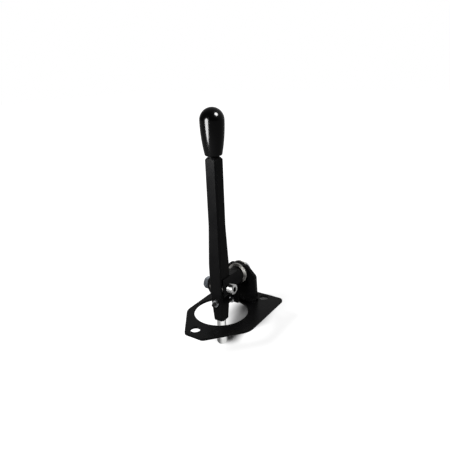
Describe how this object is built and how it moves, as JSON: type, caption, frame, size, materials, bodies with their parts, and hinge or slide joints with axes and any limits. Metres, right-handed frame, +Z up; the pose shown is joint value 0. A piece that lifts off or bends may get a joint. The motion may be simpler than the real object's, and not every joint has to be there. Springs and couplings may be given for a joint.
{
  "type": "short shifter",
  "caption": "Short-throw gear lever on a bolt-down plate, with a side-to-side pivot fork, a fore-and-aft cross pivot, a pear-shaped knob and a selector pin below.",
  "frame": {"origin": "centre of the round opening in the base plate, on the plate's underside", "axes": "+Z up along the lever at rest; +X from the lever to the standing plate, along the fork's shaft; +Y across it"},
  "size_m": [0.165, 0.119, 0.3765],
  "materials": {
    "plate_coat": "satin black powder coat",
    "upright_coat": "satin black powder coat",
    "weld_coat": "coated weld bead",
    "fork_coat": "satin black",
    "lever_coat": "satin black",
    "knob_gloss": "polished black",
    "bush_steel": "turned steel",
    "screw_black": "black oxide",
    "nut_zinc": "bright zinc",
    "bolt_bright": "bright stainless",
    "washer_steel": "ground steel",
    "sleeve_bronze": "plain bronze",
    "pin_polished": "polished steel",
    "insert_brass": "machined",
    "ring_nylon": "natural nylon"
  },
  "bodies": {
    "base": {"base_plate": "plate_coat", "upright": "upright_coat", "upright_weld": "weld_coat", "front_bush": "bush_steel", "rear_bush": "bush_steel"},
    "pivot": {"pivot_fork": "fork_coat", "stop_tongue": "fork_coat", "tongue_weld": "weld_coat", "rear_thrust_washer": "washer_steel", "shaft_nut": "nut_zinc", "shaft_nut_ring": "ring_nylon", "throw_stop_screw": "screw_black", "throw_stop_nut": "nut_zinc", "cross_bolt": "bolt_bright", "cross_nut": "nut_zinc", "lever_thrust_washers": "washer_steel"},
    "lever": {"lever_bar": "lever_coat", "lever_sleeve": "sleeve_bronze", "pin_clamp_screw": "screw_black", "pin_clamp_nut": "nut_zinc", "selector_pin": "pin_polished", "knob_insert": "insert_brass", "gear_knob": "knob_gloss"}
  },
  "joints": [
    {"name": "gate_swing", "type": "hinge", "parent": "base", "child": "pivot", "pos_m": [0, 0, 0.0495], "axis": [1, 0, 0], "range_deg": [-10, 10]},
    {"name": "throw", "type": "hinge", "parent": "pivot", "child": "lever", "pos_m": [0, 0, 0.0495], "axis": [0, 1, 0], "range_deg": [-11, 11]}
  ]
}
